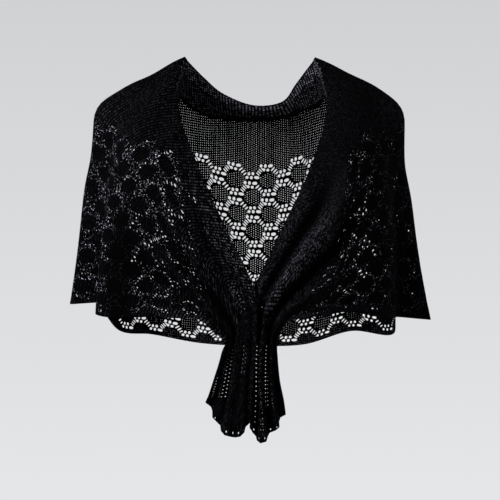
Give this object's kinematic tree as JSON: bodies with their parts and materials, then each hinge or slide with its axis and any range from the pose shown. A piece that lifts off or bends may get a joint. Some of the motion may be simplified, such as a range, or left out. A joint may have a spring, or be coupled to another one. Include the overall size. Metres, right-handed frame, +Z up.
{
  "type": "knitted lace shawl",
  "caption": "Openwork knitted shawl worn as a short cape, its fronts crossing into a gathered waist with two pleated tails.",
  "frame": {"origin": "midway between the two points where the neck edge lies on the tops of the wearer's shoulders", "axes": "+Z up, -Y to the wearer's front, +X to the wearer's left"},
  "size_m": [0.5069, 0.2731, 0.5283],
  "materials": {
    "back_knit": "fine openwork knit, black",
    "front_knit": "fine openwork knit, black",
    "tail_knit": "ribbed ladder knit, black",
    "neckband_knit": "plain fine knit, black"
  },
  "bodies": {
    "root": {"back": "back_knit", "front_right": "front_knit", "front_left": "front_knit", "tail_right": "tail_knit", "tail_left": "tail_knit", "neckband": "neckband_knit"}
  },
  "joints": []
}
